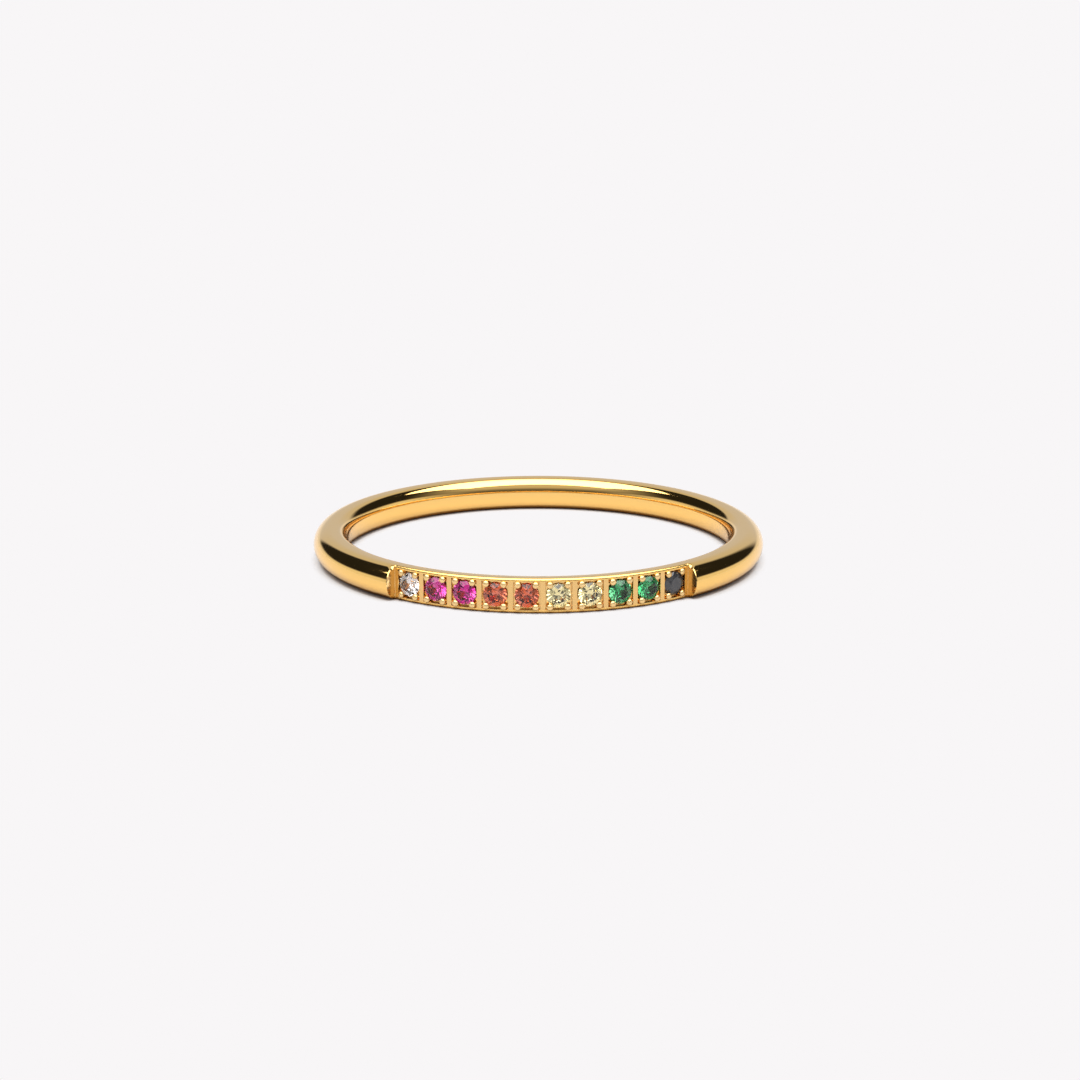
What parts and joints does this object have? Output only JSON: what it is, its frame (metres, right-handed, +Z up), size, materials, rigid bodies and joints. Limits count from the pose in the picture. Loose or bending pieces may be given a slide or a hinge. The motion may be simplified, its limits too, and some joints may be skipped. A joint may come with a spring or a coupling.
{
  "type": "stone-set stacking ring",
  "caption": "Slim gold-coloured finger ring: a half-round band whose front arc is cut back to a flat bar that holds a row of round coloured stones in square bead-set cells.",
  "frame": {"origin": "on the axis of the finger hole, in the plane that the ring rests on when it lies on its side", "axes": "+Z up along the axis of the finger hole; -Y towards the middle of the stone row; +X to the right as seen from the stones' side"},
  "size_m": [0.0202, 0.0197, 0.0015],
  "materials": {
    "gold": "polished yellow gold plate, bright all over, with a finely satin bar",
    "stone_clear": "clear faceted stone",
    "stone_pink": "magenta pink faceted stone",
    "stone_orange": "orange-red faceted stone",
    "stone_champagne": "pale champagne faceted stone",
    "stone_green": "emerald green faceted stone",
    "stone_black": "opaque black faceted stone"
  },
  "bodies": {
    "root": {"band": "gold", "stone_01_clear": "stone_clear", "stone_02_pink": "stone_pink", "stone_03_pink": "stone_pink", "stone_04_orange": "stone_orange", "stone_05_orange": "stone_orange", "stone_06_champagne": "stone_champagne", "stone_07_champagne": "stone_champagne", "stone_08_green": "stone_green", "stone_09_green": "stone_green", "stone_10_black": "stone_black"}
  },
  "joints": []
}
